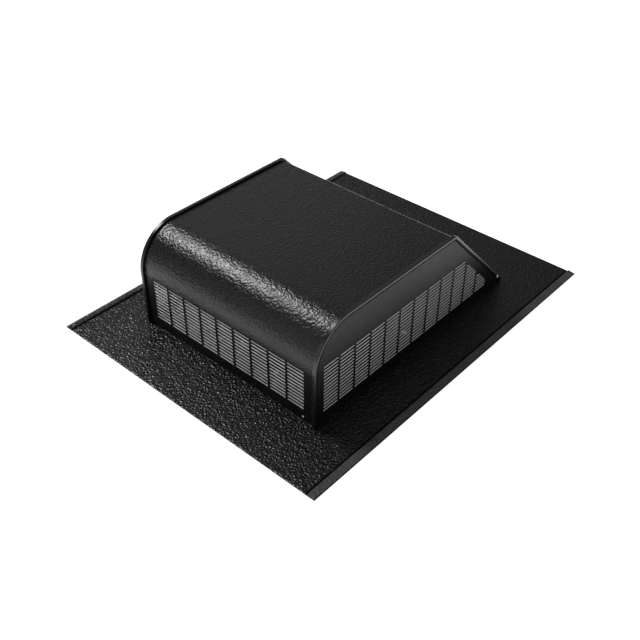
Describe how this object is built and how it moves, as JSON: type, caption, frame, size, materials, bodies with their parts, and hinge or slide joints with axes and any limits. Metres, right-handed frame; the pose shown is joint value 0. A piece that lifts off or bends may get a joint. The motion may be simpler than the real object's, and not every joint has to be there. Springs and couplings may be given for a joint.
{
  "type": "solar attic fan",
  "caption": "Low slant-back roof vent hood with louvred front and sides on an embossed roof flange, over a motor-driven exhaust fan in a round throat collar.",
  "frame": {"origin": "centre of the roof flange's flat underside", "axes": "+X right along the eaves edge, +Y up the roof slope, +Z away from the roof"},
  "size_m": [0.4064, 0.516, 0.1292],
  "materials": {
    "flange_paint": "satin black baked paint over stucco-embossed sheet",
    "hood_paint": "satin black baked paint over stucco-embossed sheet",
    "panel_paint": "satin black baked paint over smooth sheet",
    "aluminium_rivet": "mill finish",
    "galvanised_sheet": "galvanised, faint spangle",
    "zinc_fastener": "bright zinc plate",
    "black_rubber": "matte rubber",
    "cast_cap": "die-cast, bead blasted",
    "motor_paint": "dark grey gloss enamel",
    "ferrite": "sintered, dull",
    "bearing_bronze": "sintered bronze, oiled",
    "moulded_black": "moulded, fine texture",
    "carbon": "pressed carbon",
    "ground_steel": "ground",
    "laminated_steel": "stacked laminations",
    "copper": "enamelled copper",
    "nylon": "natural nylon",
    "hub_steel": "zinc plated pressing",
    "blade_aluminium": "rolled sheet, mill finish",
    "black_oxide": "black oxide",
    "moulded_grey": "moulded, fine texture",
    "red_insulation": "extruded insulation",
    "black_insulation": "extruded insulation"
  },
  "bodies": {
    "root": {"roof_flange": "flange_paint", "hood_shell": "hood_paint", "left_side_panel": "panel_paint", "right_side_panel": "panel_paint", "foot_rivets": "aluminium_rivet", "throat_collar": "panel_paint", "collar_rivets": "aluminium_rivet", "motor_bracket": "galvanised_sheet", "rubber_isolators": "black_rubber", "bracket_bolts": "zinc_fastener", "bracket_nuts": "zinc_fastener", "motor_lower_cap": "cast_cap", "motor_can": "motor_paint", "motor_upper_cap": "cast_cap", "motor_magnets": "ferrite", "lower_bearing_bush": "bearing_bronze", "upper_bearing_bush": "bearing_bronze", "brush_holders": "moulded_black", "carbon_brushes": "carbon", "motor_tie_bolts": "zinc_fastener", "motor_mount_screws": "zinc_fastener", "terminal_box": "moulded_grey", "terminal_lid": "moulded_grey", "lid_screws": "zinc_fastener", "box_screws": "zinc_fastener", "terminal_block": "nylon", "cable_bushing": "moulded_black", "motor_lead_red": "red_insulation", "motor_lead_black": "black_insulation", "lead_grommets": "black_rubber", "lead_ties": "nylon", "thermostat_switch": "moulded_black", "thermostat_screws": "zinc_fastener"},
    "rotor": {"motor_shaft": "ground_steel", "armature_core": "laminated_steel", "armature_winding": "copper", "commutator": "copper", "thrust_washers": "nylon", "fan_hub": "hub_steel", "blade_rivets": "aluminium_rivet", "hub_set_screw": "black_oxide", "fan_blade_1": "blade_aluminium", "fan_blade_2": "blade_aluminium", "fan_blade_3": "blade_aluminium", "fan_blade_4": "blade_aluminium", "fan_blade_5": "blade_aluminium"}
  },
  "joints": [
    {"name": "fan_spin", "type": "hinge", "parent": "root", "child": "rotor", "pos_m": [0, -0.038, 0.05], "axis": [0, 0, 1], "continuous": true}
  ]
}
